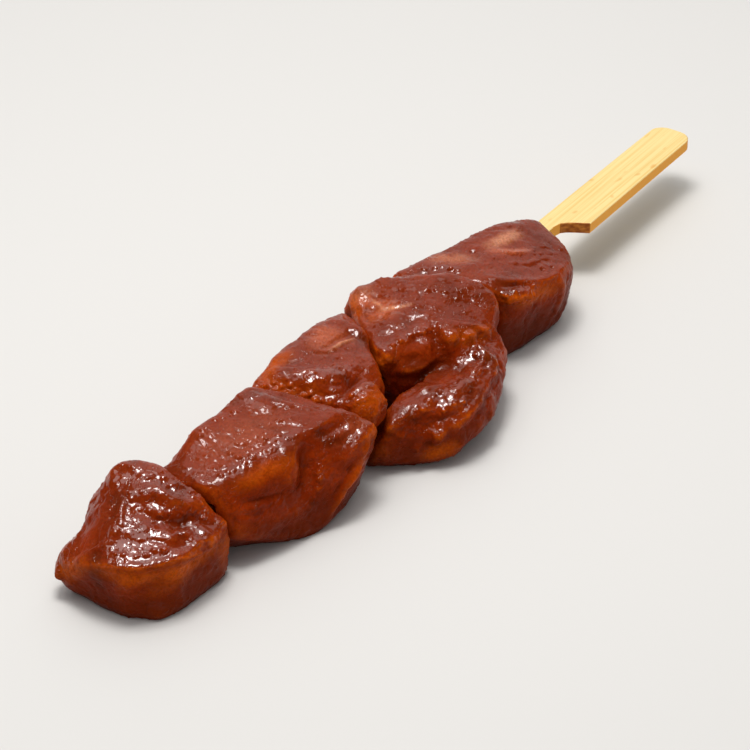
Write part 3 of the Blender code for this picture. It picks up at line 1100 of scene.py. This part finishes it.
SLAB_CHUNK = Chunk(
    name="glazed_chunk_2",
    node="meat_2",
    neighbours=("meat_1", "meat_3"),
    seed=4.1,
    grain=(0.9, 0.3, 0.1),
    wetness=0.36,
    strokes=(
        stroke(
            (-69.9, 2.1), (-68.1, 0.3), (-65.6, -0.5), (-61.1, -1.3), (-57.6, -2.5), (-52.6, -3.1),
            (-48.5, -5.3), reach=1.6, rise=0.15,
        ),
        stroke(
            (-51.5, -5.8, 18.2), (-53.5, -6.6, 16), (-54.5, -7.8, 13), (-56.5, -8, 9.5),
            reach=3.4, rise=-2.2,
        ),
        stroke((-64, -4.2, 15.5), (-58, -6, 15), (-58, -6.5, 12.5), reach=4.0, rise=0.8),
        stroke(
            (-38.2, -10.4, 16), (-41, -10.9, 15), (-44.5, -10.9, 13.8), (-48, -9.6, 14.5),
            reach=3.0, rise=1.5,
        ),
        stroke((-48.5, -6.3, 18.6), (-44.5, -7, 18.6), (-41, -7.6, 18.4), reach=2.0, rise=-0.9),
        stroke(
            (-40.4, -11.2, 13.9), (-45, -11.6, 9.4), (-48.8, -10.8, 6.4), (-51.8, -10.2, 3.4),
            reach=2.0, rise=1.3,
        ),
        stroke((-44.6, -12, 7.8), (-48.1, -11.2, 5.3), reach=2.5, rise=-0.5),
        front(
            (-70, 13.6), (-65.8, 13.2), (-61.8, 12.6), (-58.9, 11.5),
            reach=1.3, rise=-0.6, form=Form.CREASE,
        ),
        front((-70, 11.5), (-66, 10), reach=1.0, rise=-0.3, form=Form.CREASE),
        front((-62.5, 8.2), (-60, 7.2), reach=3.5, rise=0.6),
        stroke((-45.5, 10.5), (-44.2, 5.5), (-42.6, 1), (-41, -3.2), reach=2.6, rise=-1.1),
        stroke((-50, 1.8), (-48, -2), reach=2.4, rise=0.25, form=Form.PLATEAU),
        behind((-67, 14), (-65, 6), reach=6.0, rise=1.6),
        behind((-55.5, 17), (-53, 5), reach=5.0, rise=-1.9),
        behind((-44, 13), (-42, 6), reach=5.5, rise=1.5),
        behind((-59.5, 18), (-58, 11), (-60.5, 4), reach=1.6, rise=-1.0, form=Form.CREASE),
        stroke((-74, 14, 12), reach=4.5, rise=-1.6),
        stroke((-74, 14, 4), reach=5.0, rise=-1.5),
        stroke((-44.5, 14, 13), reach=4.5, rise=-1.5),
        stroke((-44.5, 14, 4), reach=4.0, rise=-1.1),
    ),
    bead_rows=(
        BeadRow(((-69.3, 1.9, 18.4), (-66, 0.1, 19), (-58.2, -1.3, 19.6), (-52.1, -3.9, 19.9)), 1.3),
        BeadRow(((-68.5, 3.6), (-62, 1.4), (-55, -0.4)), 1.7, 0.7, 0.3),
        BeadRow(((-66.7, 7.5), (-62.7, 6.7), (-58, 3)), 1.9, 0.7, 0.28),
        BeadRow(((-63.6, 11.2), (-58, 11), (-54.2, 9.5)), 1.6, 0.7, 0.32),
        BeadRow(((-60, 6), (-54, 3.5), (-50, 0.2)), 1.5, 0.7, 0.3, 1.4),
        BeadRow(((-66, 4.8), (-60, 3.2), (-54, 1.2)), 1.4, 0.7, 0.28, 1.3),
        BeadRow(((-52.2, -8.6, 13), (-52.7, -9.4, 10.2), (-55.2, -8.8, 7.7)), 1.3, 0.8, 0.45),
    ),
    # The amber stains are mostly painted glow of light along the top of the front and on the corner ridge;
    # the dark stain is painted shade low on the end face.
    stains=(
        Stain(((-66, 7), (-58, 4), (-52, 3)), 7.0, Tint.PINK, 0.35),
        Stain(((-69, 16.5), (-63, 17.5), (-57, 17.5)), 2.4, Tint.AMBER_GLOW, 0.6, side=Side.FRONT),
        Stain(((-69.5, 2.5), (-65, 0), (-58, -1.5), (-50, -3)), 2.0, Tint.WET, 0.7),
        Stain(((-52, 11), (-47, 8), (-45, 4), (-43, -1), (-40, -6)), 2.0, Tint.WET, 0.6),
        Stain(((-51.8, -8.8, 12.7), (-51.6, -9.6, 11.5), (-52.9, -9.5, 9.4)), 1.6, Tint.WET, 0.6),
        Stain(((-49, -6.5, 17.5), (-44, -8.5, 17), (-38.5, -9.5, 17)), 3.0, Tint.WET, 0.7),
        Stain(((-40.5, -11.4, 13), (-45.1, -11.6, 9), (-50.2, -10.4, 4)), 2.0, Tint.AMBER_GLOW),
        Stain(((-38.5, -10, 8), (-42.2, -10.5, 5), (-47, -10.5, 1.5)), 3.6, Tint.DARK),
        Stain(((-68, 15.8), (-62, 16.4), (-57, 15.6)), 2.6, Tint.WET, -0.4, side=Side.FRONT),
        Stain(((-67.5, -1.8, 17.4), (-64.9, -2.3, 17.7), (-60.2, -4, 17.8)), 2.2, Tint.WET, -0.5),
        Stain(((-43.5, -8.6, 17.2), (-40.7, -9.1, 17.7), (-37.9, -9.1, 17.4)), 2.6, Tint.PINK, 0.4),
    ),
)

CROWN_CHUNK = Chunk(
    name="glazed_chunk_3",
    node="meat_3",
    neighbours=("meat_2", "meat_4"),
    seed=7.7,
    grain=(0.98, -0.35, 0.0),
    wetness=0.5,
    strokes=(
        stroke((-38.2, 12.5), (-37.6, 10), (-36.3, 5.6), (-31.9, 2.6), (-26.9, 1.4), reach=3.0, rise=1.1),
        stroke((-41.8, 10.5), (-40.9, 6), (-39.2, 2.4), (-36.5, -0.6), reach=2.4, rise=-1.2),
        stroke((-16, 11), (-15.5, 6), (-17.5, 1.5), reach=2.6, rise=0.8),
        stroke((-35, -2.2), (-31, -1.4), (-27.5, -1.2), reach=1.6, rise=-1.0, form=Form.CREASE),
        stroke((-27.1, 8.2), (-22.2, 8.0), (-17.8, 7.4), reach=0.9, rise=-0.45, form=Form.CREASE),
        stroke((-26, 7), (-22, 7), (-18.5, 6.4), reach=0.8, rise=0.3),
        stroke((-30.8, 9.4), (-27.3, 7.2), (-22.7, 4.9), reach=0.9, rise=-0.35, form=Form.CREASE),
        stroke((-35.7, 11.1), (-33.5, 9.9), (-31.8, 8.7), reach=0.9, rise=-0.3, form=Form.CREASE),
        stroke((-29.5, 2.9), reach=1.5, rise=0.35),
        stroke((-35.2, 5), reach=1.3, rise=0.3),
        stroke((-31.5, -5, 18.8), (-28, -4, 18), reach=3.0, rise=1.1),
        stroke((-33, 1.2, 19.8), (-30, -0.2, 19), (-27.5, -0.5, 18.2), reach=1.8, rise=0.7),
        stroke((-30.5, -9.5, 14.5), (-31.5, -9.3, 12), reach=3.2, rise=-1.5),
        stroke((-36, -4.2, 17), (-33.9, -6.2, 18.5), (-31.1, -8, 17.9), reach=0.9, rise=0.35),
        stroke((-34.2, -3.6, 18.5), (-30.5, -4.4, 19), reach=0.9, rise=0.35),
        stroke(
            (-35, -3.9, 17.8), (-32.4, -5.5, 18.8), (-30, -6.5, 18.6),
            reach=0.8, rise=-0.4, form=Form.CREASE,
        ),
        behind((-37, 15), (-35, 6), reach=5.0, rise=-1.7),
        behind((-25, 14), (-22, 7), reach=6.5, rise=1.7),
        behind((-30, 18), (-31, 11), (-29, 4), reach=1.6, rise=-1.0, form=Form.CREASE),
        behind((-15, 13), (-14, 6), reach=4.0, rise=-1.2),
        stroke((-43, 15.5, 12), reach=4.5, rise=-1.7),
        stroke((-43, 15.5, 4), reach=4.0, rise=-1.1),
        stroke((-11, 15, 14), reach=4.0, rise=-1.2),
        stroke((-11, 15, 5), reach=5.0, rise=-1.7),
    ),
    bead_rows=(
        BeadRow(((-42.2, 12.1, 20.2), (-39.5, 5.4, 19.3), (-38.1, 2.1, 18.4), (-36.8, -1.7, 17.3)), 1.4),
        BeadRow(((-33.5, 7), (-29.5, 3.4), (-26, 2)), 1.7),
        BeadRow(((-36.4, 7.6), (-35.9, 3.8), (-32.9, 1.2), (-28, 1)), 1.0, 0.75, 0.32, 1.3),
        BeadRow(((-35.5, -4, 17.6), (-32, -5.5, 18.6)), 1.3),
    ),
    # The amber stains are mostly painted glow of light on the rims, the nub and the bulge under the lip,
    # partly the meat's own orange.
    stains=(
        Stain(((-26, 7), (-22, 7), (-18.5, 6.4)), 0.8, Tint.FAT, 0.8),
        Stain(((-27, 9.4), (-22.5, 10.5), (-20, 8.2)), 3.8, Tint.PINK),
        Stain(((-40.9, 10, 20), (-40, 7, 19.4), (-38, 2.8, 19), (-35, -1, 18.5)), 2.0, Tint.WET, 0.3),
        Stain(((-41, 12.5), (-36.5, 13.2), (-32.5, 12.8)), 3.2, Tint.AMBER_GLOW, 0.7),
        Stain(((-41, 12.5), (-36.5, 13.2), (-32.5, 12.8)), 3.2, Tint.WET, -0.3),
        Stain(((-38.4, 6.1), (-35.9, 4.1), (-31.6, 3.3), (-29.5, 1)), 2.2, Tint.WET, 0.6),
        Stain(((-37, 8), (-35, 4.5), (-32.5, 2), (-28, 1.5)), 3.0, Tint.WET, 0.6),
        Stain(((-35, -4, 18), (-30, -5, 19)), 2.5, Tint.WET, 0.5),
        Stain(((-34, -6, 16), (-30, -7, 17)), 3.0, Tint.AMBER_GLOW, 0.5),
        Stain(((-41.5, 10), (-40.5, 5), (-38, 1)), 2.6, Tint.AMBER_GLOW, 0.7),
        Stain(((-41, 10, 20), (-39.5, 8.2, 20.6), (-37.6, 7.5, 21.5)), 2.8, Tint.WET, -0.55),
    ),
)

FOLD_CHUNK = Chunk(
    name="glazed_chunk_4",
    node="meat_4",
    neighbours=("meat_3", "meat_5"),
    seed=2.9,
    grain=(0.35, -0.9, 0.1),
    wetness=0.44,
    strokes=(
        stroke((-5.2, 14.8, 19), (-3.4, 13.8, 19.6), reach=3.4, rise=0.8),
        stroke((-7.6, 11), (-7.2, 9.1), (-5.5, 6), (-3.2, 3.1), reach=1.0, rise=-0.6, form=Form.CREASE),
        stroke((-9.6, 9), (-8.2, 6.5), (-6.5, 4), reach=0.9, rise=-0.4, form=Form.CREASE),
        stroke((-15.2, 0.2), (-11.5, -0.4), (-8.2, -1.6), (-6.2, -3.6), reach=2.2, rise=0.8),
        stroke((-15, -3.8, 13.2), (-11, -6.8, 12.8), reach=3.4, rise=1.5),
        stroke((-5.8, -4, 18.8), (-7.4, -6.4, 17.8), (-8.4, -8, 15.4), reach=2.1, rise=-1.4),
        stroke((-3.6, -5.4), (-1, -7.8), (1.6, -9.6), reach=2.1, rise=0.8),
        stroke((-4, -10.2, 16.4), (-0.5, -12.1, 15.9), (4, -12.4, 15.4), reach=1.8, rise=-0.8),
        stroke(
            (-15.7, -2.8, 12.5), (-12.7, -5, 11.3), (-10.2, -7.3, 12.8), (-7.8, -9, 14.6),
            reach=1.8, rise=-1.2,
        ),
        stroke(
            (-27.9, -11.6, 12), (-24.3, -15.3, 11), (-21.6, -17.3, 11.6), (-18.5, -19, 12.6),
            reach=4.2, rise=-1.5,
        ),
        stroke((-15.3, 3.5, 17.5), (-16.9, 0.5, 17.5), (-16.3, -1.5, 16.5), reach=1.5, rise=0.6),
        stroke(
            (-3, -13.5, 14.6), (-2.6, -15.2, 12.8), (-4.5, -16.4, 12), (-8.5, -17.4, 11.8),
            (-13, -18.6, 11.6), reach=2.2, rise=1.2,
        ),
        stroke(
            (-23, -17, 8.8), (-20, -18.2, 9.8), (-16.5, -18.8, 10.6), (-13, -18.8, 11),
            reach=1.8, rise=1.0,
        ),
        stroke((-16, -12, 14.6), (-11, -13.5, 14.8), (-6.5, -12.6, 15), reach=2.8, rise=-1.0),
        stroke((-25, -11.5), (-22.5, -14.4), (-20, -15.6), reach=2.2, rise=0.2),
        stroke((-16.5, -16.2), (-13, -16.4), reach=2.2, rise=0.7),
        stroke((-9, -15.9), (-6.5, -15), reach=2.0, rise=0.8),
        stroke((-3.5, -14), (-1, -12.6), reach=1.8, rise=0.7),
        stroke((-17.5, -8.6), (-12, -9.8), (-8.8, -11.4), reach=3.0, rise=-1.3),
        stroke((-21, -10), (-17.4, -11.2), (-13.6, -12), reach=1.2, rise=0.5),
        stroke((-26.4, -14.2, 5.3), reach=2.0, rise=0.8),
        stroke((-22.9, -17.1, 7.5), reach=2.2, rise=0.8),
        stroke((-28.6, -11.8, 8.5), reach=1.8, rise=0.5),
        stroke((-18.5, -19, 5.5), reach=2.0, rise=0.5),
        stroke((-24.6, -15.7, 6.2), reach=1.2, rise=-0.5),
        stroke((-4.8, -7.8, 18), reach=2.2, rise=0.8),
        stroke((-1.6, -10.4, 16.6), reach=2.1, rise=0.9),
        stroke((2.4, -11.2, 16), reach=2.2, rise=0.8),
        stroke((-3.2, -9.2, 17.4), reach=1.0, rise=-0.5),
        stroke((0.3, -11, 16.2), reach=1.0, rise=-0.5),
        stroke((-14.5, -3.7, 10.6), (-12.8, -4.9, 10.6), reach=2.6, rise=1.0),
        behind((-3, 15), (-2, 6), reach=4.0, rise=1.3),
        behind((-6.5, 17), (-6, 10), (-7, 4), reach=1.6, rise=-0.8, form=Form.CREASE),
        stroke((-7.5, 16, 8), reach=3.5, rise=-1.0),
        stroke((0.5, 17, 6), reach=3.5, rise=-1.2),
    ),
    bead_rows=(
        BeadRow(((-2, -12.6, 15.6), (-4.1, -14.4, 15.1), (-6, -16.3, 14), (-10.8, -17.3, 13.7)), 1.2),
        BeadRow(((-22.1, -15.3, 10.6), (-20.5, -16.6, 12.3), (-17, -18.3, 13)), 1.2, 0.8, 0.45),
        BeadRow(((-23, -12.6), (-18, -14), (-12, -14.6)), 1.6),
        BeadRow(((-14, 0), (-10, -1.4), (-6.5, -3.4)), 1.5),
        BeadRow(((2, 3), (5, -1.5), (3, -6)), 1.8, 0.7, 0.3),
    ),
    # The amber stains are mostly painted glow of light on rims and knobs, partly the meat's own orange; the
    # dark stains are painted shade under the flap and in the recess, and on the top near the end chunk partly
    # the meat's darker tone.
    stains=(
        Stain(((-5.5, 15, 18.6), (-3, 13.6, 20)), 3.2, Tint.FAT, 0.3),
        Stain(((-6.5, 15.4, 16.5), (-6, 13.8, 19), (-4.8, 12.1, 19.6)), 2.8, Tint.AMBER_GLOW, 0.7),
        Stain(((-24, -12.5), (-20, -15), (-13, -16), (-7, -15), (-2, -12.5)), 3.0, Tint.WET, 0.6),
        Stain(((-14, 0), (-8, -2), (-5.5, -5)), 2.0, Tint.WET, 0.5),
        Stain(((-15.3, 3.5, 17.5), (-16.9, 0.5, 17.5), (-16.3, -1.5, 16.5)), 2.0, Tint.WET, 0.6),
        Stain(((-4, -12, 15), (-2.8, -15, 12.8), (-6, -16.3, 12)), 2.6, Tint.WET, 0.6),
        Stain(((-22, -16.3, 10.6), (-18, -18, 11.8), (-14, -18, 12.6)), 2.4, Tint.WET, 0.6),
        Stain(((-8.4, 11.1), (-6.3, 8.1), (-4.6, 5.4), (-2.7, 2.8)), 0.8, Tint.FAT),
        Stain(((-4.6, 11.2), (-5.1, 10), (-5.7, 8.5)), 0.7, Tint.FAT, 0.8),
        Stain(((-10, 9.4), (-8.5, 8.6), (-6.4, 5.4)), 2.8, Tint.PINK),
        Stain(((-13, -4, 16), (-10.4, -6.2, 15.5), (-13.6, -5.4, 14.6)), 3.4, Tint.WET, -0.6),
        Stain(((-14.5, -2.5, 16.8), (-11.5, -3, 17.2), (-9.5, -4.5, 17)), 2.6, Tint.WET, -0.5),
        Stain(((4.9, -5.2, 19.2), (4.8, -2.3, 20.6), (6, 1, 21)), 4.5, Tint.DARK, 0.6),
        Stain(((-15.1, -10, 14.5), (-12.4, -8, 13), (-9, -9.5, 12.5)), 3.4, Tint.WET, -0.5),
        Stain(((-25, -15.5, 3.5), (-20, -18, 5)), 2.6, Tint.AMBER_GLOW, 0.8),
        Stain(((-15.5, -3, 15), (-13, -5.2, 14.4), (-9.5, -7, 13)), 3.2, Tint.DARK, 0.75),
        Stain(((-5.4, -7.4, 18), (-1.6, -10.4, 16.6), (4, -11.2, 16)), 2.6, Tint.AMBER_GLOW, 0.6),
        Stain(((-7.5, 15, 17.5), (-9, 12.5, 17.5)), 2.6, Tint.AMBER_GLOW, 0.7),
        Stain(((-6.5, 12.5), (-5.6, 10), (-4.4, 5.6)), 2.6, Tint.PINK, 0.9),
        Stain(((-17, -8), (-9, -9), (-8.5, -13)), 3.2, Tint.DARK, 0.6),
    ),
    relief=Relief(lumps=0.42, flakes=0.27, beads=0.6),
)

END_CHUNK = Chunk(
    name="glazed_chunk_5",
    node="meat_5",
    neighbours=("meat_4",),
    seed=9.4,
    grain=(0.85, -0.5, 0.0),
    wetness=0.5,
    strokes=(
        stroke(
            (16.4, -1.6), (17.2, -3.9), (18.8, -5.8), (21, -7.8), (23.8, -9.1), (26.8, -10.2),
            (31, -10.9), (37.6, -9.2), reach=1.2, rise=0.4,
        ),
        stroke((16.2, -5.2, 17.4), (18.4, -7.4, 17.2), (21.5, -9, 16.8), reach=1.1, rise=-0.6),
        stroke((15.4, -7.2, 15.8), (18, -9.2, 15.4), (22.5, -10.2, 15), reach=1.8, rise=1.2),
        stroke(
            (30.8, -11.5, 13.4), (31.5, -11.2, 9.8), (31, -10.3, 5.8), (29.4, -9.6, 2.5),
            reach=1.6, rise=0.5,
        ),
        stroke((26, -10.4, 9), (24.5, -9.6, 5), reach=3.5, rise=-0.6),
        stroke((28.9, -8.3), reach=0.9, rise=-0.45),
        stroke((31.2, -9.2), reach=0.8, rise=-0.4),
        stroke((22.2, 4.6), reach=0.9, rise=-0.45),
        stroke((15.1, 10.8), reach=1.0, rise=0.4),
        stroke((12.9, 7.8), reach=1.0, rise=0.4),
        stroke((14.3, 4.9), reach=1.0, rise=0.4),
        stroke((11.6, 9.6), reach=0.9, rise=0.35),
        stroke((26.3, 3.2), (29.3, 2.1), (34.5, 1.6), reach=2.4, rise=0.4),
        stroke((25.3, 0.9), (28.3, -1.8), (32, -3.6), reach=1.0, rise=0.35),
        stroke((24, -3.2), (28, -5.4), (33, -6), reach=1.1, rise=0.3),
        stroke((20, -1), (24, -3), (30, -5), reach=3.0, rise=-0.25),
        behind((14, 13), (16, 6), reach=5.5, rise=1.5),
        behind((26, 16), (27, 5), reach=5.0, rise=-1.8),
        behind((37, 12), (38, 6), reach=5.0, rise=1.4),
        behind((21, 17), (22.5, 10), (20.5, 4), reach=1.6, rise=-1.0, form=Form.CREASE),
        stroke((7, 15, 13), reach=4.5, rise=-1.6),
        stroke((7, 15, 5), reach=4.5, rise=-1.2),
        stroke((42.5, 10, 5), reach=5.0, rise=-1.2),
    ),
    bead_rows=(
        BeadRow(((15.5, -8, 16.4), (18.6, -9.6, 15.6), (22.5, -10.4, 15.2)), 1.0, 0.8, 0.5),
        BeadRow(((16.2, -8.6, 15), (19.5, -10.2, 14.4)), 1.1, 0.7, 0.45),
        BeadRow(((16, 9.6), (14.2, 6.4), (14.6, 3)), 1.6, 0.7, 0.3),
    ),
    # The amber stain is painted glow of light on the upper side; the dark stains are painted shade low on the
    # sides and at the right end, and on the top partly the meat's darker tone.
    stains=(
        Stain(((26, 3.2), (29.3, 2.1), (35, 1.6)), 2.3, Tint.FAT, 0.85),
        Stain(((25.3, 1.2), (28.3, -1.4), (32, -3)), 1.3, Tint.PINK, 0.9),
        Stain(((25.3, 1.2), (28.3, -1.4), (32, -3)), 1.3, Tint.WET, 0.5),
        Stain(((37, 3), (38.5, -3), (33, -8)), 5.0, Tint.DARK, 0.4),
        Stain(((15.6, -6.6, 16.5), (19, -9, 16), (23, -10, 15.5)), 2.4, Tint.WET),
        Stain(((37, -8, 13), (40, -4, 9)), 5.0, Tint.WET, -0.5),
        Stain(((15, 11), (13, 7.8), (14.5, 4.9)), 3.0, Tint.WET, 0.5),
        Stain(((24.1, 2), (26.3, 0), (29.5, -2.2)), 1.6, Tint.PINK, 0.6),
        Stain(((15.5, 11), (17, 8.4), (17.7, 4.2)), 3.0, Tint.PINK, 0.45),
        Stain(((15.5, 10), (17.5, 7), (20, 3)), 2.6, Tint.FAT, 0.35),
        Stain(((18, -9.6, 14), (24.4, -10.4, 13.4), (29, -11.5, 12.6)), 2.8, Tint.AMBER_GLOW),
        Stain(((34.7, -10.8, 8.3), (35.5, -10, 4)), 4.0, Tint.DARK, 0.5),
        Stain(((14, -7, 5), (22, -8.5, 3.5), (30, -9, 3)), 8.5, Tint.DARK),
    ),
    relief=Relief(broad=0.4, lumps=0.22, veins=0.16, flakes=0.17),
)

CHUNKS = (TIP_CHUNK, SLAB_CHUNK, CROWN_CHUNK, FOLD_CHUNK, END_CHUNK)


@dataclass(frozen=True)
class BambooFinish:
    """Planed bamboo: pale straw with fine lengthwise streaks, brown where it is cut across, and dark inside
    the meat with marinade and painted shade.
    """

    pale: Colour = (0.76, 0.58, 0.25)
    straw: Colour = (0.68, 0.46, 0.15)
    fleck: Colour = (0.62, 0.30, 0.06)
    side: Colour = (0.98, 0.43, 0.055)
    cut_dark: Colour = (0.30, 0.07, 0.006)
    cut_light: Colour = (0.62, 0.22, 0.03)
    # marinade brown on the stick inside the meat, dark enough to also stand in as painted shade between the
    # chunks
    soaked_and_shaded: Colour = (0.13, 0.02, 0.004)
    streak: Pattern = Pattern((30.0, 0.38, 0.5), roughness=0.6)
    streak_stops: Point = (0.34, 0.60)
    dash: Pattern = Pattern((2.8, 1.5, 1.8), detail=0.0)
    fray: Pattern = Pattern((1.5, 1.5, 0.9))
    fray_stops: Point = (0.36, 0.66)
    fibre: Pattern = Pattern((14.0, 0.22, 0.22), detail=2.0)
    fibre_depth: float = 0.08
    fibre_strength: float = 0.6
    flecked: Span = Span(0.68, 0.88, 0.0, 0.7)
    upright: Span = Span(0.75, 0.25)
    cut_across: Span = Span(0.2, 0.6)
    soaked_and_shaded_end: Span = Span(42.5 * MM, 45.0 * MM, 1.0, 0.0)
    roughness: float = 0.6
    gloss: float = 0.2

    def dress(self, piece: bpy.types.Object) -> None:
        """Give the skewer its material.

        Args:
            piece: the skewer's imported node.
        """
        graph = Graph("bamboo_planed")
        facing = graph.add("ShaderNodeNewGeometry").outputs["True Normal"]
        level = graph.sum("ABSOLUTE", graph.part(facing, "Z"))
        across = graph.sum("ABSOLUTE", graph.part(facing, "X"))
        planed = zip(self.streak_stops, (self.straw, self.pale))
        frayed = zip(self.fray_stops, (self.cut_dark, self.cut_light))
        colour = graph.ramp(graph.noise(self.streak), *planed)
        for share, shade in (
            (graph.stretch(graph.noise(self.dash), self.flecked), self.fleck),
            (graph.stretch(level, self.upright), self.side),
            (graph.stretch(across, self.cut_across), graph.ramp(graph.noise(self.fray), *frayed)),
            # marinade stain and painted shade on the stick inside the meat
            (graph.stretch(graph.part(graph.here, "X"), self.soaked_and_shaded_end), self.soaked_and_shaded),
        ):
            colour = graph.blend(share, colour, shade)
        graph.put(
            Base_Color=colour,
            Roughness=self.roughness,
            Specular_IOR_Level=self.gloss,
            Normal=graph.bumped(graph.noise(self.fibre), self.fibre_depth, self.fibre_strength),
        )
        graph.cover(piece.data)


def stand(thing: bpy.types.Object, place: Place, aim: Place) -> None:
    """Put a lamp or a camera in the scene, aimed at a spot.

    Args:
        thing: the lamp or the camera.
        place: where it stands, in millimetres.
        aim: the spot, in millimetres.
    """
    thing.location = Vector(place) * MM
    inwards = Vector(aim) - Vector(place)
    thing.rotation_euler = inwards.to_track_quat("-Z", "Y").to_euler()
    bpy.context.scene.collection.objects.link(thing)


@dataclass(frozen=True)
class Lamp:
    """A square soft lamp: its place and the length of its sides, in millimetres, and its power in watts."""

    name: str
    place: Place
    size: float
    power: float

    def hang(self, aim: Place) -> None:
        """Hang the lamp.

        Args:
            aim: the spot that it shines at, in millimetres.
        """
        light = bpy.data.lights.new(self.name, "AREA")
        light.size = self.size * MM
        light.energy = self.power
        stand(bpy.data.objects.new(self.name, light), self.place, aim)


@dataclass(frozen=True)
class Studio:
    """The pale floor, the soft lamps and the camera."""

    camera_at: Place = (-518.9, -338.0, 422.1)
    aim_at: Place = (-15.0, 3.7, 10.0)
    lens: float = 176.4
    sensor: float = 36.0
    nearest_view: float = 10.0
    lamps: tuple[Lamp, ...] = (
        Lamp("overhead_softbox", (-40.0, 60.0, 620.0), 520.0, 1.7),
        Lamp("overhead_core", (-40.0, 40.0, 600.0), 180.0, 2.2),
        Lamp("back_panel", (560.0, 300.0, 400.0), 900.0, 1.6),
    )
    floor_size: float = 3000.0
    floor_colour: Colour = (0.62, 0.60, 0.57)
    floor_roughness: float = 0.8
    surround: Colour = (0.95, 0.97, 1.0)
    surround_strength: float = 0.4

    def build(self) -> None:
        """Set up the studio."""
        self._floor()
        for lamp in self.lamps:
            lamp.hang(self.aim_at)
        self._surround()
        self._camera()

    def _surround(self) -> None:
        """Light the scene evenly from all round, without a reflection of its own."""
        world = bpy.data.worlds.new("surround")
        bpy.context.scene.world = world
        world.use_nodes = True
        background = world.node_tree.nodes["Background"]
        background.inputs["Color"].default_value = (*self.surround, 1.0)
        background.inputs["Strength"].default_value = self.surround_strength
        world.cycles_visibility.glossy = False
        bpy.context.scene.view_settings.view_transform = "Standard"

    def _floor(self) -> None:
        """Lay the floor that the chunks lie on."""
        bm = bmesh.new()
        bmesh.ops.create_grid(bm, x_segments=1, y_segments=1, size=self.floor_size * MM / 2)
        mesh = bpy.data.meshes.new("floor")
        bm.to_mesh(mesh)
        bm.free()
        floor = bpy.data.objects.new("floor", mesh)
        bpy.context.scene.collection.objects.link(floor)
        graph = Graph("floor_paper")
        graph.put(Base_Color=self.floor_colour, Roughness=self.floor_roughness)
        graph.cover(mesh)

    def _camera(self) -> None:
        """Stand the camera and aim it at the middle of the object."""
        data = bpy.data.cameras.new("camera")
        data.lens = self.lens
        data.sensor_width = self.sensor
        data.clip_start = self.nearest_view * MM
        camera = bpy.data.objects.new("camera", data)
        stand(camera, self.camera_at, self.aim_at)
        bpy.context.scene.camera = camera


def main() -> None:
    """Build the chunks, the skewer and the studio in order."""
    logging.basicConfig(level=logging.INFO, format="%(name)s: %(message)s")
    for chunk in CHUNKS:
        chunk.build()
    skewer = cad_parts["bamboo_skewer"]
    BambooFinish().dress(skewer)
    log.info("%s: dressed", skewer.name)
    studio = Studio()
    studio.build()
    log.info("studio: %d lamps", len(studio.lamps))


if __name__ == "__main__":
    main()
